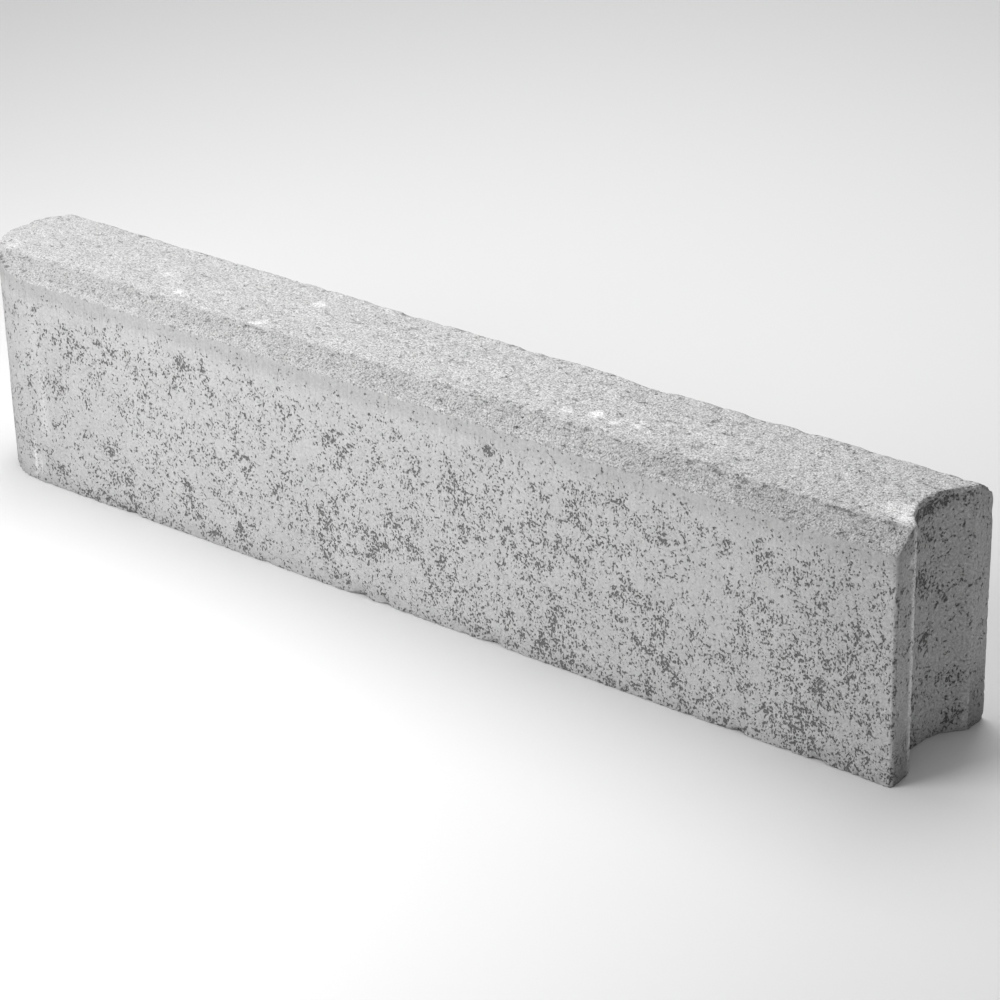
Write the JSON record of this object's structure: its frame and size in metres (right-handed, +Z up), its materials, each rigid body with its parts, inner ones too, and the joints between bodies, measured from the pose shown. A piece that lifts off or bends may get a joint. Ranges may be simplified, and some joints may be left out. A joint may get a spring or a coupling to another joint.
{
  "type": "concrete kerb stone",
  "caption": "Straight concrete kerb stone with bevelled top edges, a half-round nose at one end and a shallow round socket at the other, for edging roads, paths and beds.",
  "frame": {"origin": "on the bed, in the middle of the stone's overall length and width", "axes": "+X runs along the stone from the half-round nose to the socket, +Y points to one flank, +Z is up"},
  "size_m": [1.0199, 0.14, 0.22],
  "materials": {
    "concrete": "dry grey vibration-cast concrete: open sandy top, smooth cement skin with small pores on the flanks"
  },
  "bodies": {
    "root": {"kerb_stone": "concrete"}
  },
  "joints": []
}
